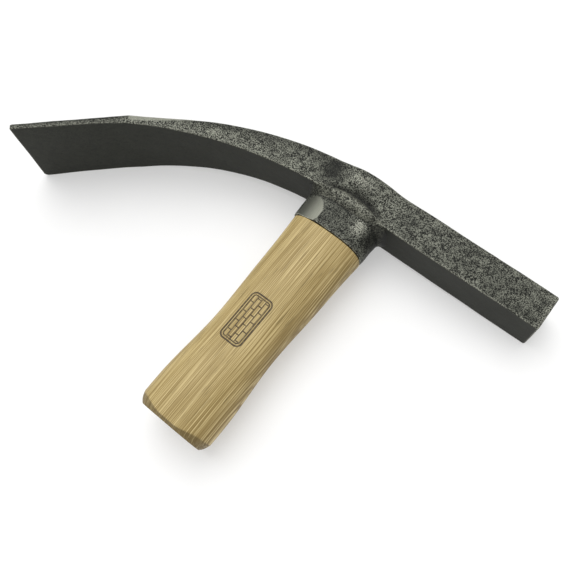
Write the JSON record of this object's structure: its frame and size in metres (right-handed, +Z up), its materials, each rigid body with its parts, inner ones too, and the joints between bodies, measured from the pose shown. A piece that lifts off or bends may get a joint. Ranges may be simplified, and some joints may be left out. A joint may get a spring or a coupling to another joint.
{
  "type": "brick hammer",
  "caption": "Short-handled brick and paving hammer: square striking block, long drooping flared blade, oval steel socket and wedged ash handle.",
  "frame": {"origin": "under the middle of the whole hammer as it lies on its side, level with the lower corner of the cutting edge", "axes": "+X along the head towards the striking block, -X towards the blade, -Y down the handle, +Z up through the side of the head, which is the shortest way through it"},
  "size_m": [0.302, 0.1744, 0.0538],
  "materials": {
    "forged_steel": "dark tumbled forging skin, fine grey speckle, worn bright edges",
    "socket_steel": "dark forging skin with one ground bright patch",
    "weld_metal": "rough lumpy weld, tumbled",
    "ash_wood": "sanded ash, thin oil, fine straight grain",
    "wedge_wood": "sawn hardwood, end grain on top",
    "wedge_steel": "bare steel, hammered top"
  },
  "bodies": {
    "root": {"hammer_head": "forged_steel", "oval_socket": "socket_steel", "weld_bead": "weld_metal", "ash_handle": "ash_wood", "wooden_wedge": "wedge_wood", "steel_wedge": "wedge_steel"}
  },
  "joints": []
}
